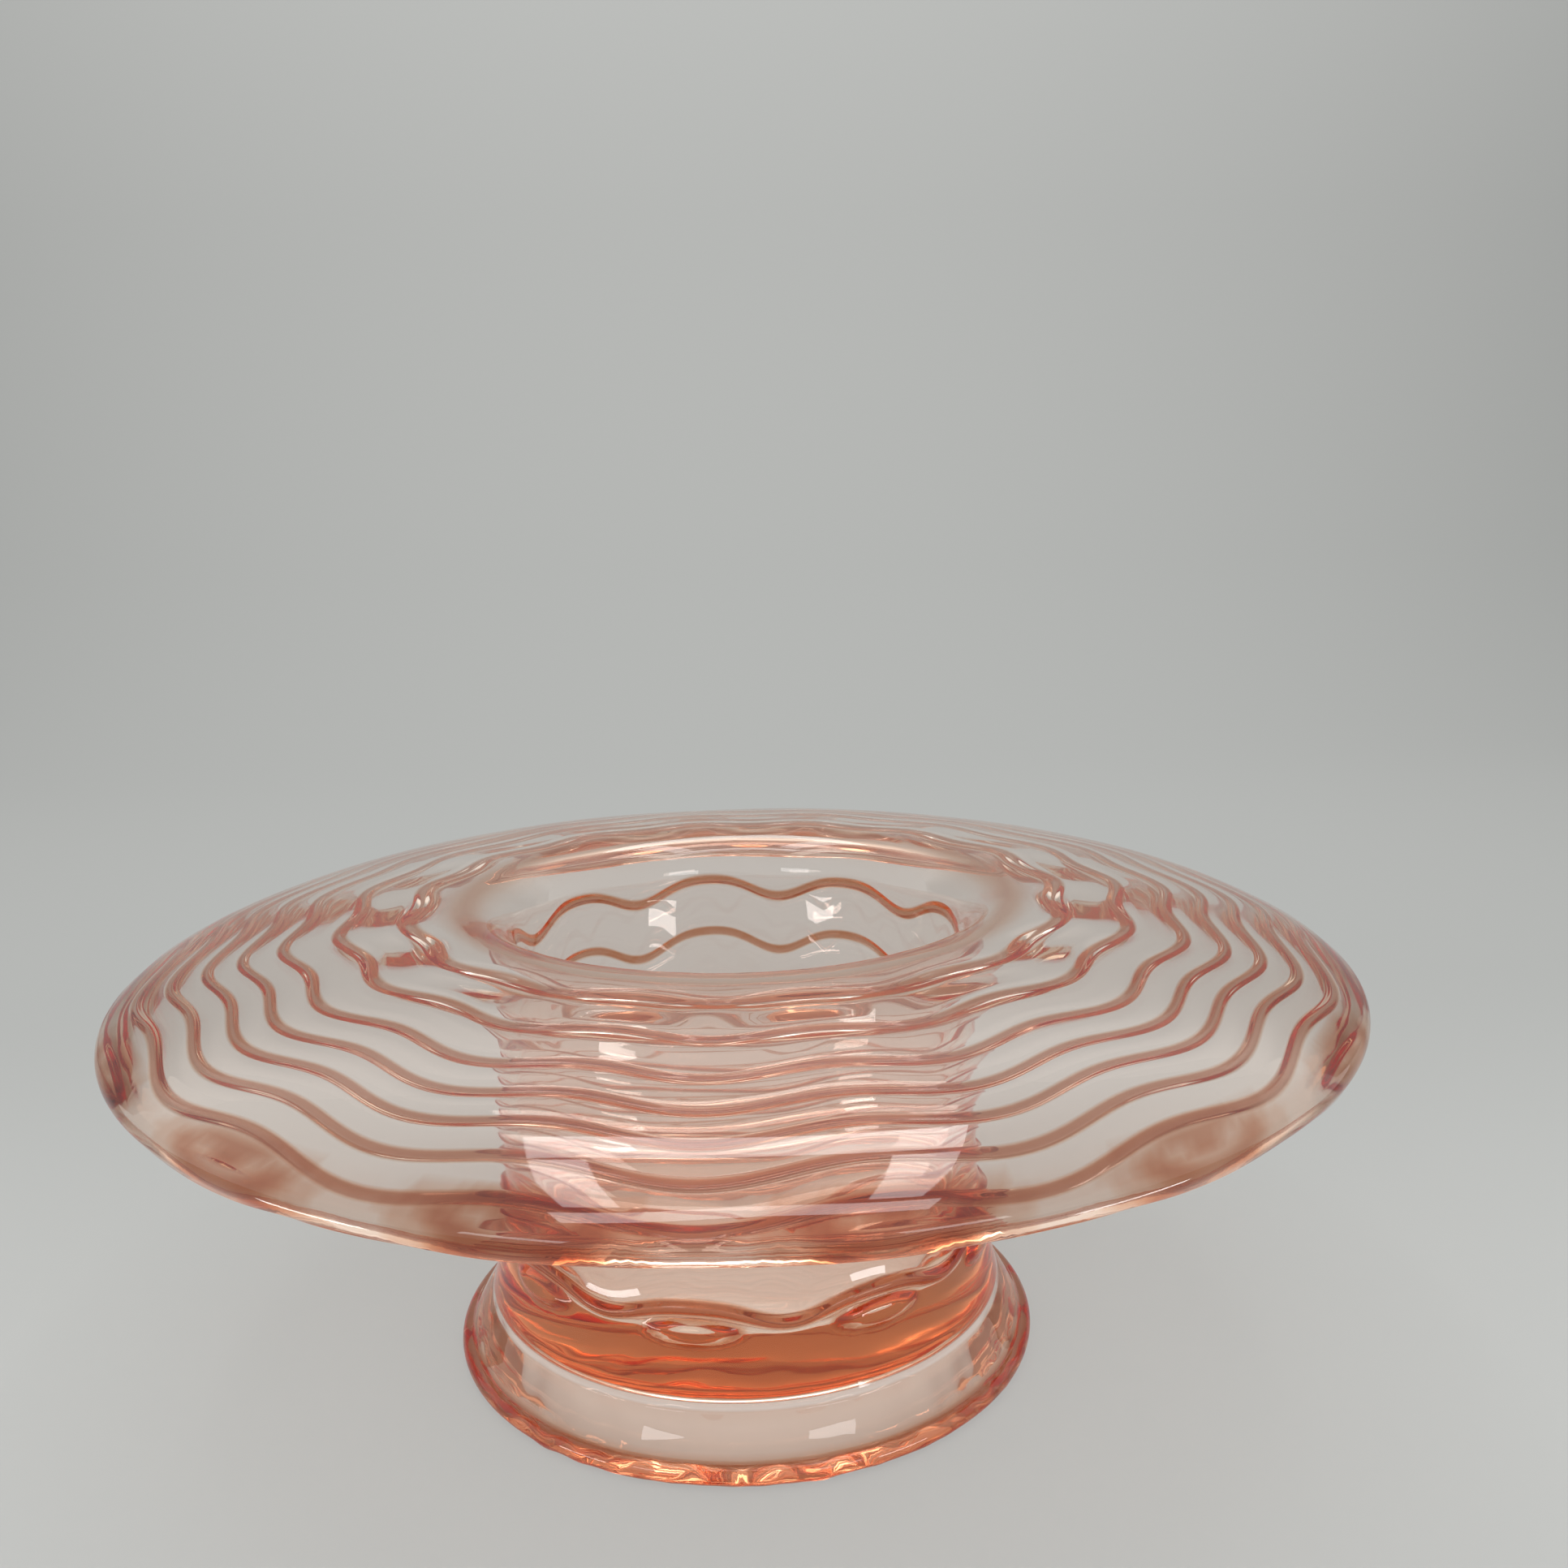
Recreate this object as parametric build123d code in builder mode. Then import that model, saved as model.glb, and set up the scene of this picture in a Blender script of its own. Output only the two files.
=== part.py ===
from build123d import *
import math
import os

# Footed dish with a turned-down rim, moulded and tooled as one piece of glass.
# Millimetres, +Z up, origin at the middle of the ring that the foot stands on.
# The glass is divided where its zones meet: foot, bottom, wall, rim and edge.

# Whole dish
HEIGHT = 84.0

# Foot: a hollow flared skirt with a rounded edge
FOOT_RADIUS = 53.5
FOOT_EDGE = 4.4
FLARE_TOP = 10.5
REST_RADIUS = 47.8
HOLLOW_RADIUS = 44.5
HOLLOW_CROWN = 11.5

# Well: a straight wall on a thick bottom, outside flaring down to the foot
WELL_RADIUS = 40.3
WALL = 3.1
FLOOR_TOP = 18.6
FLOOR_CORNER = 3.5
TAPER_TOP = 40.0
TAPER_RADIUS = 110.0

# Rim: rolls out of the throat, then three arcs (radius, degrees) turn it down
ROLL_RADIUS = 9.7
RIM_WALL = 3.2
RIM_ARCS = [(172.0, 14.5), (46.0, 16.5), (5.7, 54.0)]

# Derived
WALL_RADIUS = WELL_RADIUS + WALL
SHOULDER = HEIGHT - ROLL_RADIUS
THROAT_RADIUS = WELL_RADIUS + ROLL_RADIUS
CORNER_TOP = FLOOR_TOP + FLOOR_CORNER
EDGE_RADIUS = FOOT_EDGE / 2
RIM_TURN = sum(turn for radius, turn in RIM_ARCS)


def body_radius(z):
    """Outside radius of the body: straight above TAPER_TOP, one large arc below it."""
    drop = max(TAPER_TOP - z, 0.0)
    return WALL_RADIUS + TAPER_RADIUS - math.sqrt(TAPER_RADIUS**2 - drop**2)


def body_arc(low, high):
    """The outside of the body between two heights on the taper."""
    return ThreePointArc(
        (body_radius(low), low),
        (body_radius((low + high) / 2), (low + high) / 2),
        (body_radius(high), high),
    )


def rim_line(depth):
    """The three arcs of the rim at a depth below its top face, from the crown outwards."""
    start = (THROAT_RADIUS, HEIGHT - depth)
    heading = 0.0
    for radius, turn in RIM_ARCS:
        tangent = (math.cos(math.radians(heading)), -math.sin(math.radians(heading)))
        arc = JernArc(start, tangent, radius - depth, -turn)
        start = arc @ 1
        heading += turn
    return start


def finish(piece, name):
    piece.part.label = name
    export_step(piece.part, f"parts/{name}.step")


os.makedirs("parts", exist_ok=True)

# Foot
with BuildPart() as foot:
    with BuildSketch(Plane.XZ):
        with BuildLine():
            Line((REST_RADIUS, 0), (FOOT_RADIUS - EDGE_RADIUS, 0))
            ThreePointArc(
                (FOOT_RADIUS - EDGE_RADIUS, 0),
                (FOOT_RADIUS, EDGE_RADIUS),
                (FOOT_RADIUS - EDGE_RADIUS, FOOT_EDGE),
            )
            TangentArc(
                (body_radius(FLARE_TOP), FLARE_TOP),
                (FOOT_RADIUS - EDGE_RADIUS, FOOT_EDGE),
                tangent=(0.26, -0.97),
            )
            Line((body_radius(FLARE_TOP), FLARE_TOP), (HOLLOW_RADIUS, FLARE_TOP))
            TangentArc((HOLLOW_RADIUS, FLARE_TOP), (REST_RADIUS, 0), tangent=(0, -1))
        make_face()
    revolve()
finish(foot, "foot")

# Bottom of the well, with the waist around it and the foot's hollow domed into it
with BuildPart() as bowl_bottom:
    with BuildSketch(Plane.XZ):
        with BuildLine():
            Line((HOLLOW_RADIUS, FLARE_TOP), (body_radius(FLARE_TOP), FLARE_TOP))
            body_arc(FLARE_TOP, CORNER_TOP)
            Line((body_radius(CORNER_TOP), CORNER_TOP), (WELL_RADIUS, CORNER_TOP))
            CenterArc((WELL_RADIUS - FLOOR_CORNER, CORNER_TOP), FLOOR_CORNER, 270, 90)
            Line((WELL_RADIUS - FLOOR_CORNER, FLOOR_TOP), (0, FLOOR_TOP))
            Line((0, FLOOR_TOP), (0, HOLLOW_CROWN))
            TangentArc((0, HOLLOW_CROWN), (HOLLOW_RADIUS, FLARE_TOP), tangent=(1, 0))
        make_face()
    revolve()
finish(bowl_bottom, "bowl_bottom")

# Wall of the well
with BuildPart() as bowl_wall:
    with BuildSketch(Plane.XZ):
        with BuildLine():
            Line((WELL_RADIUS, CORNER_TOP), (body_radius(CORNER_TOP), CORNER_TOP))
            body_arc(CORNER_TOP, TAPER_TOP)
            Line((WALL_RADIUS, TAPER_TOP), (WALL_RADIUS, SHOULDER))
            Line((WALL_RADIUS, SHOULDER), (WELL_RADIUS, SHOULDER))
            Line((WELL_RADIUS, SHOULDER), (WELL_RADIUS, CORNER_TOP))
        make_face()
    revolve()
finish(bowl_wall, "bowl_wall")

# Turned-down rim: the shoulder that rolls out of the throat and the wide falling brim
with BuildPart() as turned_down_rim:
    with BuildSketch(Plane.XZ):
        with BuildLine():
            Line((WELL_RADIUS, SHOULDER), (WALL_RADIUS, SHOULDER))
            CenterArc((THROAT_RADIUS, SHOULDER), ROLL_RADIUS - WALL, 90, 90)
            Line((THROAT_RADIUS, SHOULDER + ROLL_RADIUS - WALL), (THROAT_RADIUS, HEIGHT - RIM_WALL))
            under_end = rim_line(RIM_WALL)
            top_end = rim_line(0.0)
            Line(under_end, top_end)
            CenterArc((THROAT_RADIUS, SHOULDER), ROLL_RADIUS, 90, 90)
        make_face()
    revolve()
finish(turned_down_rim, "turned_down_rim")

# Rounded, fire-polished edge of the rim
with BuildPart() as rim_edge:
    with BuildSketch(Plane.XZ):
        with BuildLine():
            Line(under_end, top_end)
            TangentArc(
                top_end,
                under_end,
                tangent=(math.cos(math.radians(RIM_TURN)), -math.sin(math.radians(RIM_TURN))),
            )
        make_face()
    revolve()
finish(rim_edge, "rim_edge")
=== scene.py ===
import math

import bpy
import numpy as np
from mathutils import Matrix, Vector


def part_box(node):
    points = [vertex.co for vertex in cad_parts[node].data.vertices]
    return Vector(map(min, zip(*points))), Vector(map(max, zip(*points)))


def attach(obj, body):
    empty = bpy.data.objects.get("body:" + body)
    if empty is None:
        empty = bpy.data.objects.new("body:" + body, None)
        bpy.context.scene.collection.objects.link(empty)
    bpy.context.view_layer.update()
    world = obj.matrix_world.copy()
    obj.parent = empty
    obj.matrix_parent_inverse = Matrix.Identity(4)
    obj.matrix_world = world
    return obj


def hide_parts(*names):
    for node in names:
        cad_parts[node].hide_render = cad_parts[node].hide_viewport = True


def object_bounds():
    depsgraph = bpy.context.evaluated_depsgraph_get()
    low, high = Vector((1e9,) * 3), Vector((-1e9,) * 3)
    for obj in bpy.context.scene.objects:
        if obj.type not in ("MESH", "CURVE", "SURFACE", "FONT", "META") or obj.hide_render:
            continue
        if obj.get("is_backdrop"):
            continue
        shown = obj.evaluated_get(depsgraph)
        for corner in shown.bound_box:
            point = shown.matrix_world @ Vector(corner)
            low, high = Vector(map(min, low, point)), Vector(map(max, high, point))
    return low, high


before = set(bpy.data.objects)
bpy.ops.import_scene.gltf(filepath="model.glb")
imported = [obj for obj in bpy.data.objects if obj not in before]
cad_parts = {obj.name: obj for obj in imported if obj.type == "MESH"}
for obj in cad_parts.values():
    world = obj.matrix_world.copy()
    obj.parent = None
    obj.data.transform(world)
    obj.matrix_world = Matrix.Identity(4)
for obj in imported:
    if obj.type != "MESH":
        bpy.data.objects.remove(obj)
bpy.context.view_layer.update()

# Footed glass dish with a turned-down rim: one closed glass mesh that stands for all the CAD zones.
# Lengths are worked out in millimetres and written to the mesh in metres.
MM = 0.001

# ---------------------------------------------------------------- sizes
FOOT_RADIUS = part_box("foot")[1].x / MM
FLARE_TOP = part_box("foot")[1].z / MM
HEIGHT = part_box("turned_down_rim")[1].z / MM
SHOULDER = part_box("bowl_wall")[1].z / MM
EDGE_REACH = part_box("rim_edge")[1].x / MM

# Body: straight above TAPER_TOP, one large arc below it
WELL_RADIUS = 40.3
WALL = 3.1
WALL_RADIUS = WELL_RADIUS + WALL
TAPER_TOP = 40.0
TAPER_RADIUS = 110.0
UNDER_CROWN = 11.5
FLOOR_TOP = 18.6
FOOT_EDGE = 1.8
FOOT_GAP = 0.1

# Rim: rolls out of the throat, then arcs (radius, degrees) turn it down to a bulb at its edge.
# The rim's two faces stop short of the bulb's centre, and the gaps keep the mesh inside the CAD's box.
ROLL_RADIUS = HEIGHT - SHOULDER
THROAT_RADIUS = WELL_RADIUS + ROLL_RADIUS
RIM_WALL = 3.2
RIM_ARCS = [(172.0, 14.5), (46.0, 16.5)]
BULB = 2.45
BULB_Z = 70.0
BULB_GAP = 0.06
BULB_START = 215.0
BULB_SPLIT = 335.0
BULB_END = 400.0
UNDER_STOP = 3.4
TOP_STOP = 0.8
THICKEN_FROM = 88.0
THICKEN_BY = 1.4

# Mesh: points round each row, and the spacing of rows of the outside between the ripples
COLUMNS = 360
FIRST_STEP = 0.7
WALL_STEP = 3.2
RIM_STEP = 1.9
EDGE_STEP = 1.2
UNDER_ROWS = 46
EDGE_ROWS = 18
TOP_ROWS = 16
INSIDE_ROWS = 34

# ---------------------------------------------------------------- ripples
# Beads on the wall: height, half width, height of the bead, swing of its waves, depth of its painted shade
WALL_RIPPLES = [
    (25.2, 1.7, 1.0, 1.35, 1.1),
    (38.8, 1.2, 0.4, 2.0, 0.85),
    (50.0, 1.2, 0.4, 2.2, 0.85),
    (61.7, 1.2, 0.4, 2.2, 0.85),
    (72.9, 1.3, 0.5, 1.9, 0.85),
]
WALL_WAVES = 9
# Beads under the rim: way from the crown, half width, height, swing, painted shade, knuckles, drift to the
# front
RIM_RIPPLES = [
    (7.2, 1.9, 1.2, 0.9, 0.85, 0.6, 0.4),
    (18.0, 1.5, 0.6, 1.2, 0.95, 0.5, 1.1),
    (26.9, 1.3, 0.38, 1.35, 1, 0.25, 1.6),
    (33.4, 1.2, 0.3, 1.4, 1, 0, 2.0),
    (39.1, 1.2, 0.3, 1.4, 1, 0, 2.4),
    (44.8, 1.2, 0.3, 1.4, 1, 0, 2.7),
    (50.5, 1.25, 0.3, 1.3, 1, 0, 2.9),
    (57.2, 1.5, 0.2, 1.3, 0, 0, 1.6),
]
RIM_WAVES = 15
SEAM = math.radians(38.5)
BEAD_STEPS = [-1.0, -0.75, -0.5, -0.25, 0.0, 0.25, 0.5, 0.75]
SHADE_GAIN = 1.9
SHARP_CRESTS = 0.15
DRIFT_GAIN = 1.2
DRIFT_POWER = 2.5

# Eye-shaped lumps above the waist, one to a wave: height, rise, reach round (waves) and up, soft share
EYE_Z = 22.4
EYE_HEIGHT = 1.1
EYE_REACH = (0.30, 2.7)
EYE_SOFT = 0.5
# Strength of the painted shade round each eye's slope
EYE_SHADE = 3.4

# Long swellings of the rim's edge, one to a wave: way from the crown, reach out and round, rise
LENS_PLACE = 59.5
LENS_HALF = 4.2
LENS_ROUND = 0.44
LENS_SOFT = 0.9
LENS_HEIGHT = 0.45

# Shallow flutes round the shoulder: rise, way from the crown, width
FLUTE = 0.6
FLUTE_PLACE = 11.0
FLUTE_WIDTH = 4.5

# Long shallow swells of hand-finished glass: wavelength, height
SWELLS = [(60.0, 0.10), (38.0, 0.07), (24.0, 0.035)]
SWELLS_OF_EACH = 5
SWELL_SEED = 7

# Fine waves: height, shortest and longest wave, seed
WAVES_IN_WRINKLES = 14
FOOT_WRINKLES = (0.11, 5, 14, 11)
FLOOR_WRINKLES = (0.03, 5, 14, 12)
CORNER_WRINKLES = (0.10, 4, 10, 15)
RING_WRINKLES = (0.14, 4, 12, 13)

# Where they lie: the last rows that can be in the well, and limits of height (and radius, on the flare)
WELL_ROWS = 40
FLARE_BELOW, FLARE_WITHIN = 9.6, 49.5
FLOOR_ZONE = (18, 21)
CORNER_ZONE = (19.2, 27)
RING_BELOW = 0.9

# ---------------------------------------------------------------- tint
# Tint of one layer of the glass, thin and deep. Between them it deepens as a power, as in coloured glass.
# The thin end is the glass's own colour; deeper tints are painted over it, as painted shade and painted
# light.
THIN_TINT = (1.0, 0.932, 0.912)
DEEP_TINT = (0.37, 0.062, 0.018)
TINT_STOPS = 6

# Painted ovals in the rim's edge: middle and reach outwards, shift and reach round (waves), lowest height
OVAL_RADIUS = 106.4
OVAL_OUT = 3.6
OVAL_SHIFT = 0.04
OVAL_ROUND = 0.42
OVAL_ABOVE = 60
# Each is painted: it starts quickly and has painted rings inside, in place of the light that the rim's
# lens-shaped swellings bend. Their depth varies in three waves round the dish.
OVAL_START = 4
OVAL_RINGS = 13
OVAL_MEAN, OVAL_SWING = 0.66, 0.34
OVAL_DEPTH, OVAL_UNEVEN = 0.86, 0.22
OVAL_WAVES = 3
OVAL_TURN = math.radians(200)

# Painted tint elsewhere, on the way from thin (0) to deep (1), and where it lies: painted light where light
# runs a long way in the glass, painted shade in the hollow's corner
BULB_DEPTH, BULB_FULL, BULB_REACH, BULB_BEYOND = 0.12, 1.15, 3.6, 90
RING_DEPTH, RING_FADE, RING_BEYOND = 0.7, 1.6, 45
RING_SPLIT, RING_TOP_INNER, RING_TOP_OUTER = 48.4, 1.6, 4.4
SKIRT_DEPTH, SKIRT_BEYOND, SKIRT_ABOVE = 0.17, 47.0, 4.0
CORNER_DEPTH, CORNER_REACH, CORNER_MIDDLE = 0.1, 1.3, (45.3, 10.0)
THROAT_DEPTH, THROAT_MIDDLE, THROAT_REACH, THROAT_ABOVE = 0.28, 48.6, 2.2, 4


# ---------------------------------------------------------------- profile
def arc(centre, radius, start, end, step=0.25):
    """Points on an arc. Angles are in degrees from outwards (+r) towards up (+z)."""
    count = max(int(radius * math.radians(abs(end - start)) / step), 3)
    angle = np.radians(np.linspace(start, end, count))
    return np.column_stack([centre[0] + radius * np.cos(angle), centre[1] + radius * np.sin(angle)])


def smooth(points, per=24):
    """A Catmull-Rom curve through the points, centripetal so that it doesn't overshoot."""
    p = np.array(points, float)
    p = np.vstack([2 * p[0] - p[1], p, 2 * p[-1] - p[-2]])
    out = []
    for i in range(1, len(p) - 2):
        chords = [np.linalg.norm(p[j + 1] - p[j]) ** 0.5 for j in range(i - 1, i + 2)]
        knots = np.cumsum([0] + chords)
        t = np.linspace(knots[1], knots[2], per, endpoint=False)[:, None]
        a = []
        for j in range(3):
            span = knots[j + 1] - knots[j]
            a.append(((knots[j + 1] - t) * p[i - 1 + j] + (t - knots[j]) * p[i + j]) / span)
        b = []
        for j in range(2):
            span = knots[j + 2] - knots[j]
            b.append(((knots[j + 2] - t) * a[j] + (t - knots[j]) * a[j + 1]) / span)
        out.append(((knots[2] - t) * b[0] + (t - knots[1]) * b[1]) / (knots[2] - knots[1]))
    return np.vstack(out + [p[-2:-1]])


def body_radius(z):
    """Outside radius of the body at a height."""
    drop = np.maximum(TAPER_TOP - np.asarray(z, float), 0.0)
    return WALL_RADIUS + TAPER_RADIUS - np.sqrt(TAPER_RADIUS**2 - drop**2)


def rim_arcs(depth):
    """The rim's arcs at a depth below its top face, from the crown outwards."""
    centre = np.array([THROAT_RADIUS, HEIGHT - RIM_ARCS[0][0]])
    heading = 0.0
    out = []
    for index, (radius, turn) in enumerate(RIM_ARCS):
        out.append(arc(centre, radius - depth, 90 - heading, 90 - heading - turn))
        heading += turn
        if index + 1 < len(RIM_ARCS):
            way = np.array([math.sin(math.radians(heading)), math.cos(math.radians(heading))])
            centre = centre + (radius - RIM_ARCS[index + 1][0]) * way
    return np.vstack(out)


class Curve:
    """A profile curve in radius and height, read by its length."""

    def __init__(self, *parts):
        p = np.vstack(parts)
        keep = np.r_[True, np.linalg.norm(np.diff(p, axis=0), axis=1) > 1e-4]
        self.p = p[keep]
        self.s = np.r_[0, np.cumsum(np.linalg.norm(np.diff(self.p, axis=0), axis=1))]
        self.length = self.s[-1]

    def at(self, s):
        return np.interp(s, self.s, self.p[:, 0]), np.interp(s, self.s, self.p[:, 1])

    def normal(self, s, step=0.2):
        """Outward normal: to the right of the way that the curve runs."""
        r1, z1 = self.at(s + step)
        r0, z0 = self.at(s - step)
        length = np.hypot(r1 - r0, z1 - z0)
        return (z1 - z0) / length, -(r1 - r0) / length

    def where_height(self, value):
        """Length at which the height first reaches a value."""
        return self.s[np.argmax(self.p[:, 1] >= value)]


# Under side: the dome over the foot's hollow, the ring that it stands on, the edge and the flare
under_side = Curve(
    smooth(
        [(0, UNDER_CROWN), (11, 11.45), (22, 11.25), (33, 10.95), (42, 10.6), (44.7, 10.4)]
        + [(45.3, 10.0), (45.8, 8.6), (46.7, 5.4), (47.3, 2.6), (47.6, 0.9), (48.2, 0.1)]
    ),
    arc((FOOT_RADIUS - FOOT_EDGE - FOOT_GAP, FOOT_EDGE), FOOT_EDGE, -90, 90, 0.15),
    smooth(
        [(50.7, 4.7), (49.4, 7.0), (48.35, 8.7), (47.9, 9.4), (47.5, 9.9)]
        + [(float(body_radius(FLARE_TOP)), FLARE_TOP)]
    ),
)

# Outside: the body, the roll under the shoulder, and the rim's under side, thicker towards its edge
bulb_r = EDGE_REACH - BULB - BULB_GAP
body_z = np.arange(FLARE_TOP, SHOULDER, 0.25)
under_roll = arc((THROAT_RADIUS, SHOULDER), ROLL_RADIUS - WALL, 180, 90)
under_roll[:, 1] = SHOULDER + (under_roll[:, 1] - SHOULDER) * (ROLL_RADIUS - RIM_WALL) / (ROLL_RADIUS - WALL)
under_rim = rim_arcs(RIM_WALL)
thicken = np.clip((under_rim[:, 0] - THICKEN_FROM) / (bulb_r - THICKEN_FROM), 0, 1) ** 2
way = np.gradient(under_rim, axis=0)
way /= np.linalg.norm(way, axis=1)[:, None]
under_rim = under_rim + np.column_stack([way[:, 1], -way[:, 0]]) * (thicken * THICKEN_BY)[:, None]
under_keep = under_rim[under_rim[:, 0] < bulb_r - UNDER_STOP]
outside = Curve(
    np.column_stack([body_radius(body_z), body_z]),
    under_roll,
    under_keep,
    smooth([under_keep[-1], (bulb_r - 2.35, BULB_Z - 0.7)])[1:-1],
    arc((bulb_r, BULB_Z), BULB, BULB_START, BULB_SPLIT, 0.15),
)

# Edge, top face and well
top_rim = rim_arcs(0.0)
top_keep = top_rim[top_rim[:, 0] < bulb_r - TOP_STOP]
past_bulb = math.radians(BULB_END - 360 + 1)
bulb_top = (bulb_r + BULB * math.cos(past_bulb), BULB_Z + BULB * math.sin(past_bulb))
edge = Curve(
    arc((bulb_r, BULB_Z), BULB, BULB_SPLIT, BULB_END, 0.15),
    smooth([bulb_top, tuple(top_keep[-1])])[1:],
)
top_side = Curve(top_keep[::-1])
inside = Curve(
    arc((THROAT_RADIUS, SHOULDER), ROLL_RADIUS, 90, 180),
    np.array([(WELL_RADIUS, 60.0), (WELL_RADIUS, 40.0)]),
    smooth(
        [(WELL_RADIUS, 30.0), (WELL_RADIUS, 25.0), (WELL_RADIUS - 0.2, 22.2), (38.9, 20.3)]
        + [(37.0, 18.9), (32.0, FLOOR_TOP), (14.0, FLOOR_TOP), (0.0, FLOOR_TOP)]
    ),
)


# ---------------------------------------------------------------- rows of the outside, with the ripples
def spread(start, end, step):
    """Row places from start up to but not including end, about step apart."""
    count = max(int(round((end - start) / step)), 1)
    return list(np.linspace(start, end, count, endpoint=False))


def ease(x):
    """Smooth step of a share from 0 to 1."""
    return x * x * (3 - 2 * x)


crown = outside.where_height(HEIGHT - RIM_WALL - 0.001)
ripples = [
    (outside.where_height(z), half, tall, swing, 0.0, dark, 0.0, 0.0)
    for z, half, tall, swing, dark in WALL_RIPPLES
]
ripples += [
    (crown + out, half, tall, 0.0, swing, dark, knuckle, drift)
    for out, half, tall, swing, dark, knuckle, drift in RIM_RIPPLES
]
middles, halves, talls, wall_swings, rim_swings, darks, knuckles, drifts = np.array(ripples).T
steps = [FIRST_STEP] + [WALL_STEP if swing else RIM_STEP for swing in wall_swings[1:]]
bead = [math.cos(math.pi * x / 2) ** 2 for x in BEAD_STEPS]
# shade is painted shade: the glass is tinted darker along each bead, in place of the dark lines that the
# raised glass makes by bending and trapping light
places, heights, shade, start = [], [], [], 0.0
for middle, half, tall, dark, step in zip(middles, halves, talls, darks, steps):
    fill = spread(start, middle - half, step)
    places += fill + [middle + half * x for x in BEAD_STEPS]
    heights += [0.0] * len(fill) + [tall * x for x in bead]
    shade += [0.0] * len(fill) + [min(dark * min(SHADE_GAIN * x, 1.0), 1.0) for x in bead]
    start = middle + half
fill = spread(start, outside.length, EDGE_STEP)
places = np.array(places + fill)
heights = np.array(heights + [0.0] * len(fill))
shade = np.array(shade + [0.0] * len(fill))


def along(values):
    """A number of each ripple, carried on between the ripples, as a column with a row for each place."""
    return np.interp(places, [0.0, *middles, outside.length], [0.0, *values, 0.0])[:, None]


theta = np.arange(COLUMNS) * 2 * math.pi / COLUMNS
wall_turn = WALL_WAVES * (theta - SEAM)
wave_wall = -np.cos(wall_turn) - SHARP_CRESTS * np.cos(2 * wall_turn)
wave_rim = -np.cos(RIM_WAVES * (theta - SEAM))
moved = places[:, None] + along(wall_swings) * wave_wall + along(rim_swings) * wave_rim
moved = moved + along(drifts) * DRIFT_GAIN * np.clip(-np.sin(theta), 0, 1) ** DRIFT_POWER
moved = np.clip(moved, 0, outside.length)
out_r, out_z = outside.at(moved)
normal_r, normal_z = outside.normal(moved)

# The place in a wave of the wall and of the rim runs from -0.5 to 0.5 waves
across_wall = ((theta - SEAM) * WALL_WAVES / (2 * math.pi)) % 1 - 0.5
across_rim = ((theta - SEAM) * RIM_WAVES / (2 * math.pi) + 0.5) % 1 - 0.5
reach = np.hypot(across_wall / EYE_REACH[0], (out_z - EYE_Z) / EYE_REACH[1])
eye = ease(np.clip((1 - reach) / EYE_SOFT, 0, 1))
raised = heights[:, None] * (1 - along(knuckles) * wave_rim) + EYE_HEIGHT * eye
reach = np.hypot(across_rim / LENS_ROUND, (places[:, None] - crown - LENS_PLACE) / LENS_HALF)
raised = raised + LENS_HEIGHT * ease(np.clip((1 - reach) / LENS_SOFT, 0, 1))
flute = np.exp(-(((moved - crown - FLUTE_PLACE) / FLUTE_WIDTH) ** 2))
raised = raised + FLUTE * (0.5 - 0.5 * wave_rim) * flute
out_r = out_r + normal_r * raised
out_z = out_z + normal_z * raised


# ---------------------------------------------------------------- rows of the whole dish
def plain_rows(curve, steps):
    """Rows of a curve with no ripple, one ring of equal points for each step."""
    r, z = curve.at(np.array(steps))
    return np.repeat(r[:, None], COLUMNS, 1), np.repeat(z[:, None], COLUMNS, 1)


def turned_steps(curve, count):
    """Row places that lie closer where the curve bends."""
    heading = np.unwrap(np.arctan2(*np.diff(curve.p, axis=0).T[::-1]))
    turn = np.r_[0, np.abs(np.diff(heading)), 0]
    weight = np.diff(curve.s) / 6.0 + (turn[:-1] + turn[1:]) / 2 / 0.25
    total = np.r_[0, np.cumsum(weight)]
    return np.interp(np.linspace(0, total[-1], count, endpoint=False), total, curve.s)


blocks = [
    plain_rows(under_side, turned_steps(under_side, UNDER_ROWS)[1:]),
    (out_r, out_z),
    plain_rows(edge, turned_steps(edge, EDGE_ROWS)),
    plain_rows(top_side, turned_steps(top_side, TOP_ROWS)),
    plain_rows(inside, turned_steps(inside, INSIDE_ROWS)),
]
radius = np.vstack([block[0] for block in blocks])
height = np.vstack([block[1] for block in blocks])
rows = len(radius)
row = np.arange(rows)[:, None]
foot_rows = len(blocks[0][0])
outside_end = foot_rows + len(out_r)
in_foot_block = row < foot_rows
near_well = row > rows - WELL_ROWS

# Hand-finished glass isn't perfectly round or smooth: long shallow swells, a fraction of a millimetre high
rng = np.random.default_rng(SWELL_SEED)
x, y = radius * np.cos(theta), radius * np.sin(theta)
swell = np.zeros_like(x)
for wavelength, high in SWELLS:
    for _ in range(SWELLS_OF_EACH):
        way = rng.normal(size=3)
        way *= 2 * math.pi / wavelength / np.linalg.norm(way)
        phase = way[0] * x + way[1] * y + way[2] * height + rng.uniform(0, 6.28)
        swell += high / math.sqrt(SWELLS_OF_EACH) * np.sin(phase)
near_edge = np.clip((EDGE_REACH - 1.0 - radius) / 6, 0, 1) * np.clip(height / 6, 0, 1)
dr = np.gradient(radius, axis=0)
dz = np.gradient(height, axis=0)
size = np.hypot(dr, dz) + 1e-9
radius = radius + dz / size * swell * near_edge
height = np.minimum(height - dr / size * swell * near_edge, HEIGHT - 0.02)


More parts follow.
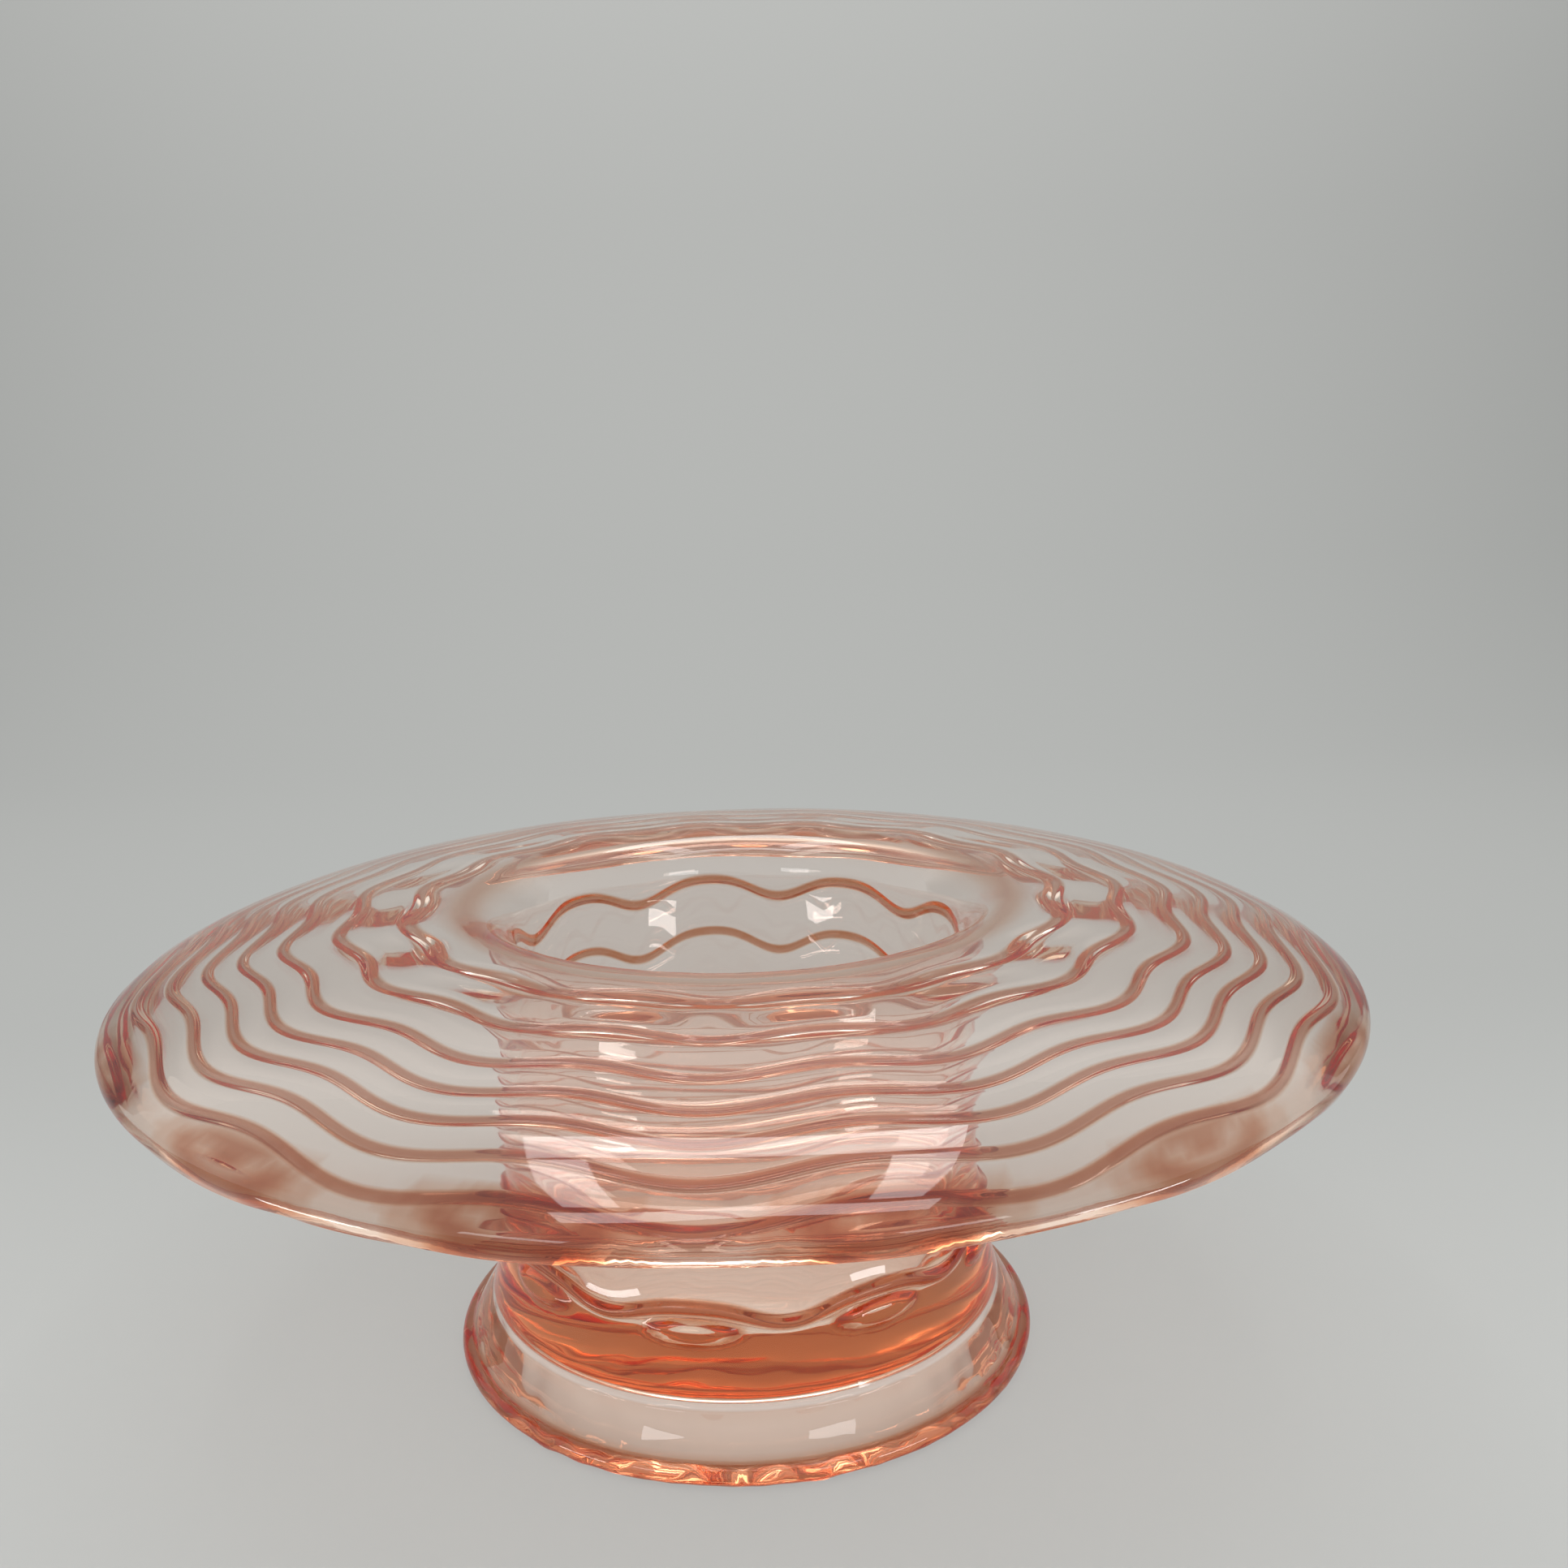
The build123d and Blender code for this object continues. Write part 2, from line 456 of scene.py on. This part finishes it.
def wrinkles(shortest, longest, seed):
    """Fine uneven waves over the glass, about -1 to 1."""
    draw = np.random.default_rng(seed)
    total = np.zeros_like(x)
    for _ in range(WAVES_IN_WRINKLES):
        turn = draw.normal(size=3)
        turn *= 2 * math.pi / draw.uniform(shortest, longest) / np.linalg.norm(turn)
        total += np.sin(turn[0] * x + turn[1] * y + turn[2] * height + draw.uniform(0, 6.28))
    return total / math.sqrt(WAVES_IN_WRINKLES)


on_flare = in_foot_block & (height < FLARE_BELOW) & (radius < FLARE_WITHIN)
radius = radius + on_flare * np.clip(height / 1.5, 0.2, 1) * FOOT_WRINKLES[0] * wrinkles(*FOOT_WRINKLES[1:])
on_floor = near_well & (height > FLOOR_ZONE[0]) & (height < FLOOR_ZONE[1])
height = height + on_floor * FLOOR_WRINKLES[0] * wrinkles(*FLOOR_WRINKLES[1:])
in_corner = near_well & (height >= CORNER_ZONE[0]) & (height < CORNER_ZONE[1])
radius = radius + in_corner * CORNER_WRINKLES[0] * wrinkles(*CORNER_WRINKLES[1:])
on_ring = in_foot_block & (height < RING_BELOW)
height = height + on_ring * RING_WRINKLES[0] * (1 + wrinkles(*RING_WRINKLES[1:]))
height = np.maximum(height, 0.0)

# ---------------------------------------------------------------- mesh
verts = np.column_stack([(radius * np.cos(theta)).ravel(), (radius * np.sin(theta)).ravel(), height.ravel()])
verts = np.vstack([verts * MM, [0, 0, UNDER_CROWN * MM], [0, 0, FLOOR_TOP * MM]])
low_pole, high_pole = rows * COLUMNS, rows * COLUMNS + 1
i, j = np.meshgrid(np.arange(rows - 1), np.arange(COLUMNS), indexing="ij")
k = (j + 1) % COLUMNS
corners = [i * COLUMNS + j, i * COLUMNS + k, (i + 1) * COLUMNS + k, (i + 1) * COLUMNS + j]
faces = np.stack(corners, -1).reshape(-1, 4).tolist()
last = (rows - 1) * COLUMNS
for c in range(COLUMNS):
    d = (c + 1) % COLUMNS
    faces.append([low_pole, d, c])
    faces.append([last + c, last + d, high_pole])

mesh = bpy.data.meshes.new("glass_dish")
mesh.from_pydata(verts.tolist(), [], faces)
mesh.validate()
mesh.polygons.foreach_set("use_smooth", np.ones(len(mesh.polygons), bool))

# Depth of the painted tint at each point, over the glass's own colour: painted shade along the beads, round
# the eyes and in the hollow's corner, and painted light, deeper wherever light runs a long way in the glass
on_outside = np.zeros_like(radius)
on_outside[foot_rows:outside_end] = np.maximum(shade[:, None], EYE_SHADE * eye * (1 - eye))
oval_reach = np.hypot((across_rim - OVAL_SHIFT) / OVAL_ROUND, (radius - OVAL_RADIUS) / OVAL_OUT)
oval = np.clip(1 - oval_reach, 0, 1) * (height > OVAL_ABOVE)
oval_depth = OVAL_DEPTH - OVAL_UNEVEN * np.cos(OVAL_WAVES * (theta - OVAL_TURN))
oval_rings = OVAL_MEAN + OVAL_SWING * np.cos(oval * OVAL_RINGS)
from_bulb = np.hypot(radius - bulb_r, height - BULB_Z)
bulb = np.clip(BULB_FULL - from_bulb / BULB_REACH, 0, 1) * (radius > BULB_BEYOND)
ring_top = np.where(radius < RING_SPLIT, RING_TOP_INNER, RING_TOP_OUTER)
foot_ring = np.clip((ring_top - height) / RING_FADE, 0, 1) * (radius > RING_BEYOND)
from_corner = np.hypot(radius - CORNER_MIDDLE[0], height - CORNER_MIDDLE[1])
corner = np.clip(1 - from_corner / CORNER_REACH, 0, 1) * in_foot_block
skirt = in_foot_block & (radius > SKIRT_BEYOND) & (height > SKIRT_ABOVE)
throat = np.exp(-(((radius - THROAT_MIDDLE) / THROAT_REACH) ** 2)) * (height > SHOULDER + THROAT_ABOVE)
depths = [
    on_outside,
    oval_depth * np.minimum(OVAL_START * oval, 1) * oval_rings,
    BULB_DEPTH * np.sqrt(bulb),
    RING_DEPTH * foot_ring,
    CORNER_DEPTH * np.sqrt(corner),
    SKIRT_DEPTH * skirt,
    THROAT_DEPTH * throat,
]
depth = np.maximum.reduce(depths)
attribute = mesh.attributes.new("depth", "FLOAT", "POINT")
attribute.data.foreach_set("value", np.r_[depth.ravel(), 0.0, 0.0].astype(np.float32))
dish = bpy.data.objects.new("glass_dish", mesh)
bpy.context.scene.collection.objects.link(dish)


# ---------------------------------------------------------------- material helpers
def add_node(tree, kind, values=None):
    """A new shader node, with values for some of its named sockets."""
    node = tree.nodes.new("ShaderNode" + kind)
    for name, value in (values or {}).items():
        node.inputs[name].default_value = value
    return node


def combine(tree, operation, *terms):
    """The result of a Math node. Each term is a number or the socket that feeds it."""
    node = add_node(tree, "Math")
    node.operation = operation
    for socket, term in zip(node.inputs, terms):
        if isinstance(term, float):
            socket.default_value = term
        else:
            tree.links.new(term, socket)
    return node.outputs[0]


def ramp(tree, source, start, end, first, last, kind="LINEAR"):
    """A value that goes from first to last as the source goes from start to end."""
    node = add_node(tree, "MapRange", {"From Min": start, "From Max": end, "To Min": first, "To Max": last})
    node.interpolation_type = kind
    tree.links.new(source, node.inputs["Value"])
    return node.outputs["Result"]


# ---------------------------------------------------------------- glass
glass = bpy.data.materials.new("pink_glass")
glass.use_nodes = True
tree = glass.node_tree
links = tree.links
shader = tree.nodes["Principled BSDF"]
shader.inputs["Transmission Weight"].default_value = 1.0
shader.inputs["IOR"].default_value = 1.51
# The painted depth of tint, read from the mesh
painted_depth = add_node(tree, "Attribute")
painted_depth.attribute_name = "depth"
depth_tint = add_node(tree, "ValToRGB")
for n in range(1, TINT_STOPS):
    depth_tint.color_ramp.elements.new(n / TINT_STOPS)
for stop in depth_tint.color_ramp.elements:
    stop.color = [thin * (deep / thin) ** stop.position for thin, deep in zip(THIN_TINT, DEEP_TINT)] + [1.0]
links.new(painted_depth.outputs["Fac"], depth_tint.inputs["Fac"])
links.new(depth_tint.outputs["Color"], shader.inputs["Base Color"])

# A slight smear of handling in the gloss, and a fine unevenness of the surface
coords = add_node(tree, "TexCoord")
smear = add_node(tree, "TexNoise", {"Scale": 45.0, "Detail": 3.0})
links.new(coords.outputs["Object"], smear.inputs["Vector"])
links.new(ramp(tree, smear.outputs["Fac"], 0.35, 0.75, 0.0, 0.05), shader.inputs["Roughness"])
fine = add_node(tree, "TexNoise", {"Scale": 60.0, "Detail": 2.0})
links.new(coords.outputs["Object"], fine.inputs["Vector"])
bump = add_node(tree, "Bump", {"Strength": 0.03, "Distance": 0.0004})
links.new(fine.outputs["Fac"], bump.inputs["Height"])
links.new(bump.outputs["Normal"], shader.inputs["Normal"])

# Tint of the glass itself, over the way that light runs in it
tint = add_node(tree, "VolumeAbsorption", {"Color": (0.95, 0.62, 0.33, 1.0), "Density": 40.0})
links.new(tint.outputs["Volume"], tree.nodes["Material Output"].inputs["Volume"])
mesh.materials.append(glass)

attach(dish, "root")
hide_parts("foot", "bowl_bottom", "bowl_wall", "turned_down_rim", "rim_edge")

# ---------------------------------------------------------------- floor and backdrop
# A sweep of paper (y, z): flat floor, a quarter round and an upright back, out to STAGE_SIDE both ways
STAGE_SIDE = 1.6
FLOOR_FRONT, FLOOR_BACK = -1.2, 0.55
BEND = 0.35
BACK_Y = 0.90
sweep = [(FLOOR_FRONT, 0.0), (FLOOR_BACK, 0.0)]
sweep += [
    (FLOOR_BACK + BEND * math.sin(angle), BEND - BEND * math.cos(angle))
    for angle in np.radians(np.arange(6, 91, 6))
]
sweep += [(BACK_Y, 0.55), (BACK_Y, 0.75), (BACK_Y, 1.05)]
stage_mesh = bpy.data.meshes.new("floor")
stage_verts = [(side, back, high) for back, high in sweep for side in (-STAGE_SIDE, STAGE_SIDE)]
stage_faces = [(2 * n, 2 * n + 1, 2 * n + 3, 2 * n + 2) for n in range(len(sweep) - 1)]
stage_mesh.from_pydata(stage_verts, [], stage_faces)
stage_mesh.polygons.foreach_set("use_smooth", [True] * len(stage_mesh.polygons))
floor = bpy.data.objects.new("floor", stage_mesh)
bpy.context.scene.collection.objects.link(floor)

# The paper glows softly as painted light, in place of the studio's falloff: less far off and to the sides,
# more high up, and most on the disc under the foot, where it fills the dish's shadow
paper = bpy.data.materials.new("paper")
paper.use_nodes = True
tree = paper.node_tree
paper_shader = tree.nodes["Principled BSDF"]
paper_shader.inputs["Base Color"].default_value = (0.14, 0.14, 0.137, 1.0)
paper_shader.inputs["Emission Color"].default_value = (0.99, 1.0, 0.975, 1.0)
paper_shader.inputs["Roughness"].default_value = 0.9
place = add_node(tree, "TexCoord").outputs["Object"]
apart = add_node(tree, "SeparateXYZ")
tree.links.new(place, apart.inputs["Vector"])
far = ramp(tree, apart.outputs["Y"], -0.06, 0.2, 0.372, 0.275, "SMOOTHSTEP")
high = ramp(tree, apart.outputs["Z"], 0.1, 0.5, 0.0, 0.06)
above_view = ramp(tree, apart.outputs["Z"], 0.50, 1.0, 0.0, 0.75, "SMOOTHSTEP")
aside = combine(tree, "MULTIPLY", apart.outputs["X"], apart.outputs["X"])
aside = combine(tree, "MINIMUM", aside, 0.45)
middle = combine(tree, "ADD", combine(tree, "ADD", far, high), above_view)
painted_light_falloff = combine(tree, "MULTIPLY_ADD", aside, -0.22, middle)
from_middle = add_node(tree, "VectorMath")
from_middle.operation = "LENGTH"
tree.links.new(place, from_middle.inputs[0])
# A disc of painted light under the foot, where the dish shades the floor
painted_light_under_foot = ramp(tree, from_middle.outputs["Value"], 0.040, 0.050, 0.18, 0.0, "SMOOTHSTEP")
tree.links.new(combine(tree, "ADD", painted_light_falloff, painted_light_under_foot), paper_shader.inputs["Emission Strength"])
stage_mesh.materials.append(paper)
floor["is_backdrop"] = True

# ---------------------------------------------------------------- camera
CAMERA = Vector((0.0, -0.2676, 0.1558))
YAW, PITCH, ROLL = 0.033, 0.195, -0.019
LENS = 35.05
forward = Vector((math.sin(YAW) * math.cos(PITCH), math.cos(YAW) * math.cos(PITCH), -math.sin(PITCH)))
right = Vector((math.cos(YAW), -math.sin(YAW), 0.0))
up = right.cross(forward)
turned_right = right * math.cos(ROLL) + up * math.sin(ROLL)
turned_up = up * math.cos(ROLL) - right * math.sin(ROLL)
turn = Matrix((turned_right, turned_up, -forward)).transposed().to_4x4()
camera = bpy.data.objects.new("camera", bpy.data.cameras.new("camera"))
bpy.context.scene.collection.objects.link(camera)
camera.matrix_world = Matrix.Translation(CAMERA) @ turn
camera.data.lens = LENS
camera.data.sensor_width = 36.0
camera.data.clip_start = 0.01
bpy.context.scene.camera = camera


# ---------------------------------------------------------------- light
def soft(name, place, aim, size, glow):
    """A soft rectangular lamp at place that faces aim, of an even glow whatever its size."""
    data = bpy.data.lights.new(name, "AREA")
    data.shape = "RECTANGLE"
    data.size, data.size_y = size
    data.energy = glow * math.pi * size[0] * size[1]
    lamp = bpy.data.objects.new(name, data)
    bpy.context.scene.collection.objects.link(lamp)
    lamp.location = place
    lamp.rotation_mode = "QUATERNION"
    lamp.rotation_quaternion = (Vector(aim) - Vector(place)).to_track_quat("-Z", "Y")
    return lamp


# The two low reflectors light the dish alone, so that they leave no patches on the floor
REFLECTOR = (0.055, 0.014)
REFLECTOR_GLOW = 9.0
low_left = soft("low_left", (-0.141, -0.105, 0.008), (-0.012, 0.038, 0.062), REFLECTOR, REFLECTOR_GLOW)
low_right = soft("low_right", (0.128, -0.119, 0.008), (0.015, 0.037, 0.062), REFLECTOR, REFLECTOR_GLOW)
dish_only = bpy.data.collections.new("dish_only")
dish_only.objects.link(dish)
for reflector in (low_left, low_right):
    reflector.light_linking.receiver_collection = dish_only

# A frame of four lamps overhead, and two panels behind the camera
FRAME_HEIGHT = 1.1
FRAME_GLOW = 4.5
PANEL = (0.24, 0.14)
PANEL_GLOW = 4.0
for name, (over_x, over_y), lamp_size in [
    ("frame_back", (0, 0.48), (0.70, 0.22)),
    ("frame_left", (-0.295, 0.10), (0.11, 0.50)),
    ("frame_right", (0.295, 0.08), (0.11, 0.50)),
    ("frame_front", (0, -0.27), (0.80, 0.12)),
]:
    soft(name, (over_x, over_y, FRAME_HEIGHT), (over_x, over_y, 0), lamp_size, FRAME_GLOW)
soft("panel_left", (-0.48, -0.70, 0.35), (0, 0, 0.02), PANEL, PANEL_GLOW)
soft("panel_right", (0.42, -0.70, 0.35), (0, 0, 0.02), PANEL, PANEL_GLOW)

world = bpy.data.worlds.new("studio")
bpy.context.scene.world = world
world.use_nodes = True
world.node_tree.nodes["Background"].inputs["Color"].default_value = (0.96, 1.0, 0.98, 1.0)
world.node_tree.nodes["Background"].inputs["Strength"].default_value = 1.05

# Light crosses many layers of glass before it leaves the dish
LAYERS = 64
scene = bpy.context.scene
scene.view_settings.view_transform = "Standard"
scene.cycles.max_bounces = LAYERS
scene.cycles.transmission_bounces = LAYERS
scene.cycles.glossy_bounces = LAYERS

low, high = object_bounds()
